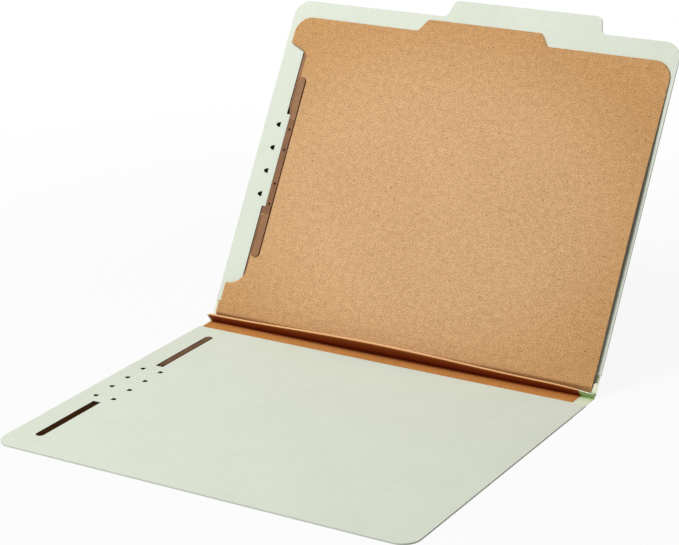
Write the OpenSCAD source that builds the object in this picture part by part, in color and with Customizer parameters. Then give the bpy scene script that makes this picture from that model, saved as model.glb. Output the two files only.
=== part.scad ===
// Classification folder: two pressboard covers, a pleated cloth gusset along the spine and one
// kraft divider, with two-prong paper fasteners on both covers and on both sides of the divider.
// The front cover lies on the table and the back cover leans back, as an open folder stands.
// Millimetres. X runs along the spine, Y from the front cover to the back cover, Z up.
// The origin is the middle of the front cover's spine edge, on the table.

/* [Covers] */
// Width of each cover along the spine
cover_w = 298.45; // [270:0.05:340]
// Depth of each cover from its spine edge to its outer edge
cover_h = 226.2; // [205:0.1:280]
// Thickness of a cover's outer ply
outer_ply = 0.65; // [0.6:0.05:1]
// Thickness of a cover's inner ply
inner_ply = 0.45; // [0.35:0.05:0.8]
// Radius of a cover's two outer corners
corner_r = 12; // [2:0.5:18]
// Angle between the table and the back cover
back_angle = 58.25; // [45:0.25:80]

/* [Cover tab] */
// Height of the filing tab on the back cover
tab_h = 12.2; // [8:0.1:20]
// Width of the tab where it leaves the cover
tab_w = 118; // [60:1:150]
// Distance from the cover's right edge to the tab
tab_inset = 58; // [30:0.5:80]
// How far each side of the tab slants in
tab_slant = 3.5; // [2:0.5:12]
// Radius of the tab's top corners
tab_top_r = 4.5; // [1:0.5:8]
// Radius where the tab's sides leave the cover
tab_foot_r = 4.5; // [1:0.5:8]

/* [Gusset] */
// Depth of the first and the last gusset panel
panel_h = 12.7; // [11:0.1:20]
// Depth of the two panels between them, which meet at the ridge
pleat_h = 6.5; // [5:0.1:12]
// Thickness of the gusset cloth
cloth_t = 0.2; // [0.1:0.05:0.3]
// Thickness of the kraft lining on the cloth
lining_t = 0.3; // [0.2:0.05:0.5]
// Cloth left bare between a cover's board and the first crease
hinge_gap = 1; // [0.8:0.1:3]
// Width of the cloth flap glued under each cover
flap_h = 19; // [10:0.5:30]
// Angle between the table and the second panel, which rises to the ridge
rise_angle = 126; // [115:0.5:150]
// Opening angle between the two panels that meet at the ridge
ridge_opening = 1.5; // [1:0.1:10]
// Gap between those two panels at the ridge
ridge_gap = 0.6; // [0.4:0.05:1.5]
// Half of the cloth left free at each crease
crease_gap = 0.12; // [0.12:0.01:0.2]
// Distance from the cover's edge to the end of the cloth
cloth_inset = 0.6; // [0:0.1:5]
// Distance from the cover's left edge to the lining
lining_left = 1.2; // [0.6:0.1:10]
// Distance from the lining to the cover's right edge
lining_right = 10.5; // [1:0.5:20]
// Lining left off beside a crease with a cover
lining_setback = 0.8; // [0.6:0.1:2]

/* [Cover fasteners] */
// Distance from the front cover's middle to its fastener's middle, towards the spine
front_shift = 3.4; // [0:0.1:8]
// Distance from the back cover's middle to its fastener's middle, towards the spine
back_shift = 6.4; // [0:0.1:8]
// Distance from the covers' left edge to the line of their prongs
fastener_inset = 18.8; // [15:0.1:30]
// Distance between the roots of the two prongs, the spacing of the punched holes
prong_pitch = 69.85; // [60:0.05:80]
// Length of a cover's prong
prong_l = 60; // [40:0.5:62]
// Width of a cover's prong
prong_w = 4.6; // [3:0.1:5]
// Width of the narrow neck at the root of a cover's prong
neck_w = 2.4; // [1.5:0.1:2.8]
// Length of the neck
neck_l = 3.6; // [2:0.1:6]
// Thickness of the fastener metal
metal_t = 0.35; // [0.25:0.01:0.4]
// How far the base plate runs past each prong's root
base_overrun = 3; // [2:0.5:8]
// Width of the base plate
base_w = 21; // [19:0.5:26]

/* [Cover holes] */
// Room between a prong and the sides of its slot
slot_room = 0.65; // [0.3:0.05:1]
// Room between a prong and the ends of its slot
slot_end_room = 0.6; // [0.4:0.05:2]
// Length of a viewing hole's flat side
hole_w = 3.7; // [2:0.05:5]
// Depth of a viewing hole behind its flat side
hole_d = 3.45; // [2:0.05:4.2]
// Distance from the line of the prongs to the holes' flat sides
hole_out = 5.6; // [5:0.1:6]
// Distance between the holes of a row
hole_pitch = 17.3; // [12:0.1:20]
// Number of holes in a row
holes_in_row = 4; // [2:1:4]

/* [Divider] */
// Thickness of the divider and its foot
divider_t = 0.5; // [0.3:0.05:0.8]
// Gap between the divider and the back cover
divider_gap = 2.2; // [1.8:0.1:4]
// Distance from the covers' left edge to the divider
divider_left = 5; // [2:0.1:10]
// Distance from the divider to the covers' right edge
divider_right = 2.9; // [1:0.1:10]
// Distance from the back cover's outer edge to the divider's top edge
divider_drop = 12.4; // [6:0.1:20]
// Radius of the divider's top corners
divider_corner_r = 12; // [2:0.5:20]
// Height of the divider's tab
divider_tab_h = 9; // [5:0.1:12]
// Width of the divider's tab where it leaves the divider
divider_tab_w = 98; // [60:1:140]
// Distance from the divider's middle to its tab's middle
divider_tab_shift = 3; // [-20:0.5:20]
// How far each side of the divider's tab slants in
divider_tab_slant = 3.5; // [2:0.5:15]
// Radius of the curves at the divider's tab
divider_tab_r = 3.5; // [1:0.5:8]

/* [Divider notch] */
// Depth of the notch in the divider's left edge
notch_d = 14.3; // [12:0.1:20]
// Depth of the shallow recess in the notch's edge, behind the fasteners' base strips
recess_d = 1.6; // [1:0.1:3]
// Distance from the strips' middle to each end of the recess
recess_reach = 33; // [30:0.5:40]
// Height of the ear above the notch
upper_ear_h = 20.5; // [15:0.5:28]
// Height of the ear below the notch
lower_ear_h = 13.5; // [8:0.1:30]
// How far the upper ear's lower edge slants
upper_ear_slant = 6; // [0:0.5:10]
// Radius of the notch's upper corner
notch_upper_r = 6; // [1:0.5:8]
// Radius of the notch's lower corner
notch_lower_r = 12.5; // [1:0.5:16]
// Radius of the ears' tips
ear_r = 1.5; // [0.5:0.1:3]

/* [Divider foot] */
// Distance from the covers' left edge to the foot
foot_left = 3.8; // [1:0.1:10]
// Distance from the foot to the covers' right edge
foot_right = 3.8; // [1:0.1:12]
// Distance from the last gusset panel's crease to the glued part of the foot
foot_start = 3; // [2:0.1:4]
// Width of the glued part of the foot
foot_glue = 5; // [3:0.1:6]
// Height of the divider's score line above the gusset's last crease
score_rise = 0.6; // [0.3:0.1:3]
// Half of the paper left free at the score line
score_gap = 0.35; // [0.3:0.01:0.4]

/* [Divider fasteners] */
// Distance from the back cover's fastener's middle to the divider's, towards the spine
strip_shift = 5.1; // [0:0.1:10]
// Width of the fasteners' base strips
strip_w = 5.5; // [5:0.1:8]
// How far the strips stand past the recess's edge
strip_overhang = 0.2; // [0:0.1:1.5]
// Length of a divider prong
leaf_l = 32; // [20:0.5:40]
// Width of a divider prong
leaf_w = 5.3; // [4:0.1:6.5]
// Width of a divider prong at its root
leaf_root_w = 4.6; // [2:0.1:6]
// Distance from the middle to the inner rivets
rivet_inner = 12.6; // [8:0.1:16]
// Distance from the middle to the outer rivets
rivet_outer = 27.7; // [20:0.1:30]
// Radius of a rivet's barrel
rivet_r = 0.9; // [0.7:0.05:1.2]
// Radius of the bore through a rivet
rivet_bore_r = 0.5; // [0.3:0.05:0.6]
// Radius of a rivet's heads
rivet_head_r = 1.35; // [1.3:0.05:1.8]
// Thickness of a rivet's heads
rivet_head_t = 0.15; // [0.1:0.01:0.2]

/* [Fits] */
// Gap between a prong's root and its turning axis
root_gap = 0.2; // [0.15:0.01:0.3]
// Gap between a flat prong and the sheet it lies on
lie_gap = 0.03; // [0.02:0.01:0.05]
// Room around a base plate in its pocket, and around a rivet in its holes
pocket_gap = 0.1; // [0.05:0.01:0.2]
// Room between the end of a divider strip and a prong's turning axis
strip_end_gap = 0.4; // [0.35:0.01:0.6]

/* [Hidden] */

$fn = 48;
// Straight pieces in each rounded corner of an outline
arc_steps = 10;
// Overlap of a cut with the face it opens
cut = 0.1;

// Colours of the stocks
pressboard = [0.84, 0.87, 0.80];
kraft = [0.80, 0.62, 0.42];
cloth = [0.96, 0.96, 0.88];
coated_metal = [0.42, 0.30, 0.22];
dark_metal = [0.22, 0.17, 0.14];

left = -cover_w / 2;
right = cover_w / 2;
board_t = outer_ply + inner_ply;
stack_t = cloth_t + lining_t;
slot_x = left + fastener_inset;
front_middle = cover_h / 2 - front_shift;
back_middle = cover_h / 2 - back_shift;
slot_w = prong_w + 2 * slot_room;
base_l = prong_pitch + 2 * base_overrun;
prong_low = outer_ply + lie_gap;

// Points of the gusset's zigzag as [y, z], from the front cover to the back cover.
// A valley crease turns at the lining's face, the ridge between the two cloth faces that
// look at each other, and a crease with a cover at the cloth's inner face.
function turn(p, a) = [p.x * cos(a) - p.y * sin(a), p.x * sin(a) + p.y * cos(a)];
fall_angle = rise_angle - 180 + ridge_opening;
front_crease = [hinge_gap, cloth_t];
panel_1_at = [hinge_gap, 0];
valley_1 = panel_1_at + [panel_h, stack_t];
panel_2_at = valley_1 - turn([0, stack_t], rise_angle);
ridge = panel_2_at + turn([pleat_h, -ridge_gap / 2], rise_angle);
panel_3_at = ridge - turn([0, -ridge_gap / 2], fall_angle);
valley_2 = panel_3_at + turn([pleat_h, stack_t], fall_angle);
panel_4_at = valley_2 - turn([0, stack_t], back_angle);
back_crease = panel_4_at + turn([panel_h, cloth_t], back_angle);
back_at = back_crease - turn([0, cloth_t], back_angle);

// The divider's sheet in the back cover's own axes: up the cover, then out from its outer face
divider_low = board_t + divider_gap;
divider_high = divider_low + divider_t;
score = [score_rise, divider_low + divider_t / 2];
divider_bottom = score_rise + score_gap;
divider_top = hinge_gap + cover_h - divider_drop;
divider_x1 = left + divider_left;
divider_x2 = right - divider_right;
notch_x = divider_x1 + notch_d;
recess_x = notch_x + recess_d;
strip_x = recess_x - strip_overhang + strip_w / 2;
strip_y = hinge_gap + back_middle - strip_shift;
strip_l = prong_pitch - 2 * strip_end_gap;

function unit(v) = v / norm(v);

// One corner b of an outline between a and c, rounded to radius r or to a share of its shorter side
function rounded(a, b, c, r, share) =
    let (
        u = unit(a - b),
        v = unit(c - b),
        half = acos(u * v) / 2,
        reach = min(r / tan(half), min(norm(a - b), norm(c - b)) * share),
        centre = b + unit(u + v) * reach / cos(half),
        start = b + u * reach - centre,
        finish = b + v * reach - centre,
        sweep = atan2(cross(start, finish), start * finish)
    )
    r == 0 ? [b] : [for (i = [0 : arc_steps]) centre + turn(start, sweep * i / arc_steps)];

// The share of a corner's shorter side that its curve may take, a half unless the corner gives it
function share_of(c) = len(c) > 3 ? c[3] : 0.5;

// A closed outline from corners given as [x, y, radius] or [x, y, radius, share]
function outline(corners) =
    let (n = len(corners), p = [for (c = corners) [c.x, c.y]])
    [for (i = [0 : n - 1]) each rounded(p[(i + n - 1) % n], p[i], p[(i + 1) % n], corners[i].z, share_of(corners[i]))];

// A flat sheet of that outline between two heights
module sheet(corners, low, high) {
    translate([0, 0, low])
        linear_extrude(high - low)
            polygon(outline(corners));
}

// A rectangle of sheet
module strip(x1, x2, y1, y2, low, high) {
    translate([x1, y1, low])
        cube([x2 - x1, y2 - y1, high - low]);
}

// The corners of a tab on a top edge, from its right end to its left end
function tab(middle, width, slant, base, height, foot_r, top_r) = [
    [middle + width / 2, base, foot_r],
    [middle + width / 2 - slant, base + height, top_r],
    [middle - width / 2 + slant, base + height, top_r],
    [middle - width / 2, base, foot_r]
];

// Places a piece of the front cover, drawn with y from the spine edge outwards
module on_front_cover() {
    mirror([0, 1, 0])
        children();
}

// Places a piece in the axes of a sheet that starts at a point of the zigzag
module on_sheet(at, angle) {
    translate([0, at.x, at.y])
        rotate([angle, 0, 0])
            children();
}

// Places a piece of the back cover, drawn with y from the spine edge outwards
module on_back_cover() {
    on_sheet(back_at, back_angle)
        translate([0, hinge_gap, 0])
            children();
}

// Places a piece on the divider, in the back cover's axes
module on_divider() {
    on_sheet(back_at, back_angle)
        children();
}

// Moves to the middle of a fastener, and turns to its spine side or its outer side
module at_fastener(x, y, side) {
    translate([x, y, 0])
        mirror([0, side < 0 ? 1 : 0, 0])
            children();
}

front_corners = [[left, 0, 0], [right, 0, 0], [right, cover_h, corner_r], [left, cover_h, corner_r]];
back_tab = tab(right - tab_inset - tab_w / 2, tab_w, tab_slant, cover_h, tab_h, tab_foot_r, tab_top_r);
back_corners = concat(
    [[left, 0, 0], [right, 0, 0], [right, cover_h, corner_r]],
    back_tab,
    [[left, cover_h, corner_r]]
);

// A cover's outer ply, with a step for the cloth flap and a pocket for the fastener's base
module outer_board(corners, middle) {
    difference() {
        sheet(corners, 0, outer_ply);
        strip(left - cut, right + cut, -cut, flap_h, -cut, cloth_t);
        translate([slot_x, middle, 0])
            strip(-base_w / 2 - pocket_gap, base_w / 2 + pocket_gap,
                -base_l / 2 - pocket_gap, base_l / 2 + pocket_gap,
                outer_ply - metal_t, outer_ply + cut);
    }
}

// A viewing hole: half of an oval, with its side towards the prongs cut straight
module viewing_hole() {
    linear_extrude(inner_ply + 2 * cut)
        polygon([
            for (i = [0 : 2 * arc_steps])
                [-hole_d * sin(90 * i / arc_steps), hole_w / 2 * cos(90 * i / arc_steps)]
        ]);
}

// The slot that a cover's prong lies in
module prong_slot() {
    slot_start = prong_pitch / 2 - slot_end_room;
    slot_stop = prong_pitch / 2 + root_gap + prong_l + slot_end_room;
    sheet([
        [-slot_w / 2, slot_start, 0],
        [slot_w / 2, slot_start, 0],
        [slot_w / 2, slot_stop, slot_w / 2],
        [-slot_w / 2, slot_stop, slot_w / 2]
    ], outer_ply - cut, board_t + cut);
}

// A cover's inner ply, with the slots for the prongs and the rows of viewing holes
module inner_board(corners, middle) {
    difference() {
        sheet(corners, outer_ply, board_t);
        for (side = [-1, 1])
            at_fastener(slot_x, middle, side)
                prong_slot();
        for (row = [-1, 1], i = [0 : holes_in_row - 1])
            translate([slot_x, middle, outer_ply - cut])
                mirror([row > 0 ? 1 : 0, 0, 0])
                    translate([-hole_out, (i - (holes_in_row - 1) / 2) * hole_pitch, 0])
                        viewing_hole();
    }
}

// A fastener's base plate under a cover's inner ply
module cover_base(middle) {
    translate([slot_x, middle, 0])
        strip(-base_w / 2, base_w / 2, -base_l / 2, base_l / 2, outer_ply - metal_t, outer_ply);
}

// A prong drawn outwards from its turning axis, with a narrower neck and a round tip
module prong(length, width, neck, low) {
    root = prong_pitch / 2 + root_gap;
    sheet([
        [-neck / 2, root, 0],
        [neck / 2, root, 0],
        [neck / 2, root + neck_l, 0],
        [width / 2, root + neck_l, 0],
        [width / 2, root + length, width / 2],
        [-width / 2, root + length, width / 2],
        [-width / 2, root + neck_l, 0],
        [-neck / 2, root + neck_l, 0]
    ], low, low + metal_t);
}

module cover_prong(middle, side) {
    at_fastener(slot_x, middle, side)
        prong(prong_l, prong_w, neck_w, prong_low);
}

module divider_prong(side, low) {
    at_fastener(strip_x, strip_y, side)
        prong(leaf_l, leaf_w, leaf_root_w, low);
}

// A base strip on one face of the divider, with clear holes for the rivets
module divider_base(low) {
    translate([strip_x, strip_y, low])
        difference() {
            strip(-strip_w / 2, strip_w / 2, -strip_l / 2, strip_l / 2, 0, metal_t);
            rivet_places()
                translate([0, 0, -cut])
                    cylinder(r = rivet_r + pocket_gap, h = metal_t + 2 * cut);
        }
}

module rivet_places() {
    for (y = [-rivet_outer, -rivet_inner, rivet_inner, rivet_outer])
        translate([0, y, 0])
            children();
}

// A tubular rivet that clamps both base strips to the divider
module rivet() {
    low = divider_low - metal_t;
    high = divider_high + metal_t;
    difference() {
        union() {
            translate([0, 0, low - rivet_head_t])
                cylinder(r = rivet_head_r, h = rivet_head_t);
            translate([0, 0, low])
                cylinder(r = rivet_r, h = high - low);
            translate([0, 0, high])
                cylinder(r = rivet_head_r, h = rivet_head_t);
        }
        translate([0, 0, low - rivet_head_t - cut])
            cylinder(r = rivet_bore_r, h = high - low + 2 * rivet_head_t + 2 * cut);
    }
}

// One gusset panel's cloth, and its lining between two lines along the panel
module panel_cloth(depth) {
    strip(left + cloth_inset, right - cloth_inset, crease_gap, depth - crease_gap, 0, cloth_t);
}

module panel_lining(start, stop) {
    strip(left + lining_left, right - lining_right, start, stop, cloth_t, stack_t);
}

module front_cover_outer() {
    color(pressboard)
        on_front_cover()
            outer_board(front_corners, front_middle);
}

module front_cover_inner() {
    color(pressboard)
        on_front_cover()
            inner_board(front_corners, front_middle);
}

module front_fastener_base() {
    color(dark_metal)
        on_front_cover()
            cover_base(front_middle);
}

module front_spine_prong() {
    color(coated_metal)
        on_front_cover()
            cover_prong(front_middle, -1);
}

module front_edge_prong() {
    color(coated_metal)
        on_front_cover()
            cover_prong(front_middle, 1);
}

module gusset_front_flap() {
    color(cloth)
        strip(left + cloth_inset, right - cloth_inset, -flap_h, hinge_gap - crease_gap, 0, cloth_t);
}

module gusset_panel_1() {
    color(cloth)
        on_sheet(panel_1_at, 0)
            panel_cloth(panel_h);
}

module gusset_panel_2() {
    color(cloth)
        on_sheet(panel_2_at, rise_angle)
            panel_cloth(pleat_h);
}

module gusset_panel_3() {
    color(cloth)
        on_sheet(panel_3_at, fall_angle)
            panel_cloth(pleat_h);
}

module gusset_panel_4() {
    color(cloth)
        on_sheet(panel_4_at, back_angle)
            panel_cloth(panel_h);
}

module gusset_back_flap() {
    color(cloth)
        on_sheet(back_at, back_angle)
            strip(left + cloth_inset, right - cloth_inset, crease_gap, hinge_gap + flap_h, 0, cloth_t);
}

module gusset_liner_1() {
    color(kraft)
        on_sheet(panel_1_at, 0)
            panel_lining(lining_setback, panel_h - crease_gap);
}

module gusset_liner_2() {
    color(kraft)
        on_sheet(panel_2_at, rise_angle)
            panel_lining(crease_gap, pleat_h - crease_gap);
}

module gusset_liner_3() {
    color(kraft)
        on_sheet(panel_3_at, fall_angle)
            panel_lining(crease_gap, pleat_h - crease_gap);
}

module gusset_liner_4() {
    color(kraft)
        on_sheet(panel_4_at, back_angle)
            panel_lining(crease_gap, panel_h - lining_setback);
}

module back_cover_outer() {
    color(pressboard)
        on_back_cover()
            outer_board(back_corners, back_middle);
}

module back_cover_inner() {
    color(pressboard)
        on_back_cover()
            inner_board(back_corners, back_middle);
}

module back_fastener_base() {
    color(dark_metal)
        on_back_cover()
            cover_base(back_middle);
}

module back_spine_prong() {
    color(coated_metal)
        on_back_cover()
            cover_prong(back_middle, -1);
}

module back_edge_prong() {
    color(coated_metal)
        on_back_cover()
            cover_prong(back_middle, 1);
}

// The divider above its score line, with a tab on top and a notch for the fasteners of the covers
module divider_panel() {
    divider_tab = tab(
        (divider_x1 + divider_x2) / 2 + divider_tab_shift,
        divider_tab_w, divider_tab_slant, divider_top, divider_tab_h, divider_tab_r, divider_tab_r
    );
    lower_ear = divider_bottom + lower_ear_h;
    // The lower ear's long curve leaves a little of its edge for the tip
    ear_share = 0.88;
    upper_ear = divider_top - upper_ear_h;
    corners = concat(
        [
            [divider_x1, divider_bottom, 0],
            [divider_x2, divider_bottom, 0],
            [divider_x2, divider_top, divider_corner_r]
        ],
        divider_tab,
        [
            [divider_x1, divider_top, divider_corner_r],
            [divider_x1, upper_ear, ear_r],
            [notch_x, upper_ear - upper_ear_slant, notch_upper_r],
            [notch_x, strip_y + recess_reach, 0],
            [recess_x, strip_y + recess_reach, 0],
            [recess_x, strip_y - recess_reach, 0],
            [notch_x, strip_y - recess_reach, 0],
            [notch_x, lower_ear, notch_lower_r, ear_share],
            [divider_x1, lower_ear, ear_r]
        ]
    );
    color(kraft)
        on_divider()
            difference() {
                sheet(corners, divider_low, divider_high);
                translate([strip_x, strip_y, divider_low - cut])
                    rivet_places()
                        cylinder(r = rivet_r + pocket_gap, h = divider_t + 2 * cut);
            }
}

// The divider's foot: a strip glued to the last gusset panel that rises to the score line
module divider_foot() {
    glue_end = foot_start + foot_glue;
    bend = [glue_end, stack_t + divider_t / 2];
    axis = [panel_h + score.x, score.y];
    along = unit(axis - bend);
    across = [-along.y, along.x] * divider_t / 2;
    tip = axis - along * score_gap;
    color(kraft)
        on_sheet(panel_4_at, back_angle)
            translate([left + foot_left, 0, 0])
                rotate([90, 0, 90])
                    linear_extrude(cover_w - foot_left - foot_right)
                        polygon([
                            [foot_start, stack_t],
                            [glue_end, stack_t],
                            tip - across,
                            tip + across,
                            bend + across,
                            [foot_start, stack_t + divider_t]
                        ]);
}

module divider_front_base() {
    color(coated_metal)
        on_divider()
            divider_base(divider_high);
}

module divider_rear_base() {
    color(coated_metal)
        on_divider()
            divider_base(divider_low - metal_t);
}

module divider_rivets() {
    color(dark_metal)
        on_divider()
            translate([strip_x, strip_y, 0])
                rivet_places()
                    rivet();
}

module divider_front_spine_prong() {
    color(coated_metal)
        on_divider()
            divider_prong(-1, divider_high + lie_gap);
}

module divider_front_edge_prong() {
    color(coated_metal)
        on_divider()
            divider_prong(1, divider_high + lie_gap);
}

module divider_rear_spine_prong() {
    color(coated_metal)
        on_divider()
            divider_prong(-1, divider_low - lie_gap - metal_t);
}

module divider_rear_edge_prong() {
    color(coated_metal)
        on_divider()
            divider_prong(1, divider_low - lie_gap - metal_t);
}

front_cover_outer();
front_cover_inner();
front_fastener_base();
front_spine_prong();
front_edge_prong();
gusset_front_flap();
gusset_panel_1();
gusset_panel_2();
gusset_panel_3();
gusset_panel_4();
gusset_back_flap();
gusset_liner_1();
gusset_liner_2();
gusset_liner_3();
gusset_liner_4();
back_cover_outer();
back_cover_inner();
back_fastener_base();
back_spine_prong();
back_edge_prong();
divider_panel();
divider_foot();
divider_front_base();
divider_rear_base();
divider_rivets();
divider_front_spine_prong();
divider_front_edge_prong();
divider_rear_spine_prong();
divider_rear_edge_prong();
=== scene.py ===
"""Looks of an open classification folder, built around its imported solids.

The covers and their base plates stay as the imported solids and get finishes. The cloth gusset,
its kraft lining, the divider with its foot, its base strips, the prongs and the rivets are
surfaces worked out here in the same frame: X along the spine, Y from the front cover to the
back cover, Z up, in metres.
"""
import math

import bmesh
import bpy
import numpy as np
from mathutils import Matrix, Vector


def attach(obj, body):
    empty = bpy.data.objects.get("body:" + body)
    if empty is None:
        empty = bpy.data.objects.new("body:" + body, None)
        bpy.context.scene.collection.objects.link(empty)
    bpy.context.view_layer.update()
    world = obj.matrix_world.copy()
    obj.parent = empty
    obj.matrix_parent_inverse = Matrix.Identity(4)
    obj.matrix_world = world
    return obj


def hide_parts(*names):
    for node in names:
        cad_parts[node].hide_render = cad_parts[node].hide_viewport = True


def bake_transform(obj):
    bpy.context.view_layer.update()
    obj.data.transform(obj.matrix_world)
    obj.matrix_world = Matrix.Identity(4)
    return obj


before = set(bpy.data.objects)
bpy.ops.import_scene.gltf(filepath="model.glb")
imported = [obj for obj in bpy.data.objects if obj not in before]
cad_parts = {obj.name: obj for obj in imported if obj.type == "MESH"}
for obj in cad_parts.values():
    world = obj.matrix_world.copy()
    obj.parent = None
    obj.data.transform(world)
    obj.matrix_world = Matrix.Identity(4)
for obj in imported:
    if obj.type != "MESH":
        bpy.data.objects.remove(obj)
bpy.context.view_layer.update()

bl_info = {
    "name": "Classification Folder",
    "version": (1, 0, 0),
    "blender": (4, 5, 0),
    "location": "View3D > Sidebar > Folder",
    "description": "Dresses a pressboard classification folder with its gusset, divider and fasteners",
    "category": "Mesh",
}

MM = 0.001


# Settings

def length(label, text, size_mm):
    """A length property, given in millimetres and kept in metres."""
    return bpy.props.FloatProperty(name=label, description=text, default=size_mm * MM,
                                   unit="LENGTH", precision=5)


def angle(label, text, degrees):
    """An angle property, given in degrees and kept in radians."""
    return bpy.props.FloatProperty(name=label, description=text, default=math.radians(degrees),
                                   unit="ROTATION", subtype="ANGLE")


def colour(label, text, red, green, blue):
    """A colour property in scene-linear values."""
    return bpy.props.FloatVectorProperty(name=label, description=text, subtype="COLOR", size=3,
                                         min=0, max=1, default=(red, green, blue))


def share(label, text, value):
    """A plain number from 0 to 1."""
    return bpy.props.FloatProperty(name=label, description=text, default=value, min=0, max=1,
                                   subtype="FACTOR")


class FolderCovers(bpy.types.PropertyGroup):
    """Sizes and colours of the two pressboard covers."""
    width: length("Width", "Width of each cover along the spine", 298.45)
    depth: length("Depth", "Depth of each cover from its spine edge", 226.2)
    back_angle: angle("Back angle", "Angle between the table and the back cover", 58.25)
    pale: colour("Pale fibre", "Lightest tone of the pressboard", 0.735, 0.785, 0.675)
    deep: colour("Deep fibre", "Darkest tone of the pressboard", 0.655, 0.705, 0.595)
    fleck: colour("Fleck", "Scattered dark fibres of the pressboard", 0.50, 0.55, 0.47)
    # Painted shade: near black on the floors and walls of the slots and holes round the fastener
    core: colour("Core", "Glued core of the board, seen in the slots", 0.022, 0.013, 0.008)
    outer_ply: length("Outer ply", "Thickness of a cover's outer ply", 0.65)
    board: length("Board", "Thickness of a cover", 1.1)


class FolderGusset(bpy.types.PropertyGroup):
    """Sizes and colours of the pleated spine."""
    panel: length("Panel", "Depth of the first and the last panel", 12.7)
    pleat: length("Pleat", "Depth of the two panels that meet at the ridge", 6.5)
    cloth: length("Cloth", "Thickness of the cloth", 0.2)
    lining: length("Lining", "Thickness of the kraft lining", 0.28)
    stack: length("Stack", "Thickness of cloth and lining at a crease", 0.5)
    hinge_gap: length("Hinge gap", "Bare cloth beside a cover's board", 1)
    flap: length("Flap", "Width of the cloth glued under each cover", 19)
    rise: angle("Rise", "Angle between the table and the second panel", 126)
    opening: angle("Opening", "Angle between the two panels at the ridge", 1.5)
    ridge_gap: length("Ridge gap", "Gap between those panels at the ridge", 0.6)
    cloth_left: length("Cloth left", "Cloth past the left cover edge", 0.4)
    cloth_right: length("Cloth right", "Cloth to right cover edge", 0.6)
    lining_left: length("Lining left", "Left cover edge to lining", 1.2)
    lining_right: length("Lining right", "Lining to right cover edge", 10.5)
    setback: length("Setback", "Lining left off beside a cover", 0.8)
    ripple: length("Ripple", "Unevenness of the folded panels", 0.1)
    sink: length("Sink", "How far the ridge sinks at its right end", 2.8)
    sink_reach: length("Sink reach", "Length over which the ridge sinks", 34)
    bow: length("Ridge bow", "How far the ridge rises along its middle", 4.6)
    bow_place: length("Bow place", "Where along the spine the ridge is highest", -15)
    bow_reach: length("Bow reach", "Distance over which the bow fades out", 134)
    stand: length("Stand", "How far the cloth's loose right end stands off", 2.6)
    stand_width: length("Stand width", "Width of the loose end", 2.9)
    stand_out: length("Stand out", "How far the loose end reaches out", 1.2)
    pale: colour("Pale cloth", "Light tone of the spun cloth", 0.86, 0.87, 0.70)
    deep: colour("Deep cloth", "Darker tone between the fibres", 0.70, 0.74, 0.52)
    # Painted shade of the cloth deep in a fold, and a painted highlight where a crest catches the
    # light
    fold: colour("Cloth in the folds", "Tone of the cloth deep in a fold", 0.40, 0.54, 0.24)
    crest: colour("Cloth crest", "Tone of the cloth rubbed at a crest", 0.95, 0.95, 0.82)
    kraft_pale: colour("Pale lining", "Light tone of the lining", 0.66, 0.290, 0.076)
    kraft_deep: colour("Deep lining", "Dark tone of the lining", 0.43, 0.162, 0.034)
    # Painted shade of the lining deep in a fold, and a painted highlight along the ridge's crest
    kraft_fold: colour("Lining in the folds", "Tone of the lining deep in a fold", 0.22, 0.032, 0.002)
    kraft_crest: colour("Lining crest", "Tone of the lining rubbed at the crest", 0.82, 0.48, 0.23)


class FolderDivider(bpy.types.PropertyGroup):
    """Sizes and colours of the kraft divider."""
    thickness: length("Thickness", "Thickness of the sheet", 0.5)
    lift: length("Lift", "Outer face of the back cover to the sheet's middle", 3.55)
    left: length("Left", "Left cover edge to the sheet", 5)
    right: length("Right", "Sheet to right cover edge", 2.9)
    drop: length("Drop", "Back cover's top edge down to the sheet's", 12.4)
    corner: length("Corner", "Radius of the top corners", 12)
    tab_height: length("Tab height", "Height of the tab", 9)
    tab_width: length("Tab width", "Width of the tab at its root", 97.2)
    tab_shift: length("Tab shift", "Sheet's middle to the tab's", 3.05)
    tab_slant: length("Tab slant", "How far the tab's sides lean in", 2.4)
    tab_round: length("Tab round", "Radius of the tab's curves", 7.0)
    notch: length("Notch", "Depth of the notch in the left edge", 14.3)
    recess: length("Recess", "Depth of the recess behind the base strips", 1.6)
    recess_low: length("Recess low", "Strips' middle down to the recess's end", 33)
    recess_high: length("Recess high", "Strips' middle up to the recess's end", 44)
    notch_lean: length("Notch lean", "How far the notch's edge lies in above the recess", 1.35)
    upper_ear: length("Upper ear", "Height of the ear above the notch", 20.5)
    lower_ear: length("Lower ear", "Height of the ear below the notch", 13.5)
    ear_slant: length("Ear slant", "How far the upper ear's edge slants", 6)
    upper_round: length("Upper round", "Radius of the notch's upper corner", 6)
    lower_round: length("Lower round", "Radius of the notch's lower corner", 12.5)
    score: length("Score", "Height of the score line above the last crease", 0.6)
    foot_left: length("Foot left", "Left cover edge to the foot", 3.8)
    foot_right: length("Foot right", "Foot to right cover edge", 3.1)
    foot_turn: length("Foot turn", "Panel crease to the foot's bend", 4.85)
    foot_end: length("Foot end", "Panel crease to the foot's lower edge", 2.05)
    foot_gap: length("Foot gap", "Lining to the middle of the foot's lower edge", 0.45)
    foot_ease: length("Foot ease", "Softness of the foot's bend", 0.25)
    top_lean: length("Top lean", "How far the top leans to the cover", 1.85)
    top_fall: length("Top fall", "How far the top edge falls to the right", 1.5)
    pale: colour("Pale kraft", "Light fibres of the sheet", 0.80, 0.498, 0.262)
    deep: colour("Deep kraft", "Dark fibres of the sheet", 0.475, 0.258, 0.110)
    # Painted shade: a tint that darkens the sheet towards its edges, where less light falls
    edge_shade: colour("Aged kraft", "Tint of the sheet towards its edges", 0.86, 0.785, 0.63)
    speck: colour("Speck", "Bark specks in the sheet", 0.17, 0.070, 0.022)


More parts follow.
